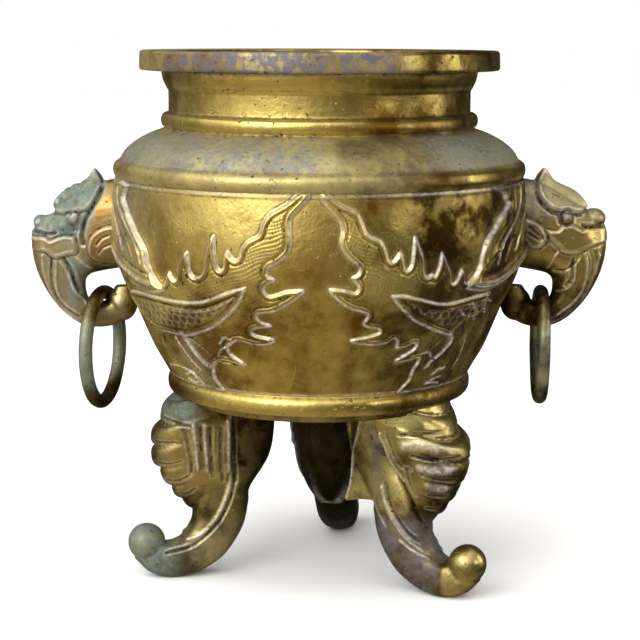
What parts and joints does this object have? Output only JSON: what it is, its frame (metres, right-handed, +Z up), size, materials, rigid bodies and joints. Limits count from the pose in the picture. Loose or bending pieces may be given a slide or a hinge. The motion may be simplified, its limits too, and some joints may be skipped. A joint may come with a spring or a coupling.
{
  "type": "cast brass cachepot",
  "caption": "Cast brass cachepot with a moulded neck and rim, flame relief on the bowl, scroll feet with scallop-leaf knees, beast-head handles and loose rings.",
  "frame": {"origin": "on the floor under the middle of the whole cachepot, at the bottom centre of its box", "axes": "+X towards the right-hand handle, the longest way across; +Y towards the back, the shortest; +Z up out of the mouth; the front faces -Y"},
  "size_m": [0.246, 0.1734, 0.2245],
  "materials": {
    "pot_brass": "cast brass, rubbed bright on the high places, with a grey-green bloom and dark pits",
    "leg_brass": "cast brass, dull and grey-green in the hollows",
    "handle_brass": "cast brass, brown and grey",
    "verdigris_brass": "cast brass under blue-green verdigris",
    "ring_brass": "dark brass wire"
  },
  "bodies": {
    "cachepot": {"pot": "pot_brass", "leg_left": "leg_brass", "leg_right": "leg_brass", "leg_rear": "leg_brass", "handle_left": "verdigris_brass", "handle_right": "handle_brass"},
    "left_ring": {"ring_left": "verdigris_brass"},
    "right_ring": {"ring_right": "ring_brass"}
  },
  "joints": [
    {"name": "left_ring_swing", "type": "hinge", "parent": "cachepot", "child": "left_ring", "pos_m": [-0.0929, 0, 0.1217], "axis": [0.1871, 0.9823, 0], "range_deg": [-25, 80]},
    {"name": "right_ring_swing", "type": "hinge", "parent": "cachepot", "child": "right_ring", "pos_m": [0.0952, 0, 0.1225], "axis": [-0.058, -0.9983, 0], "range_deg": [-25, 80]}
  ]
}
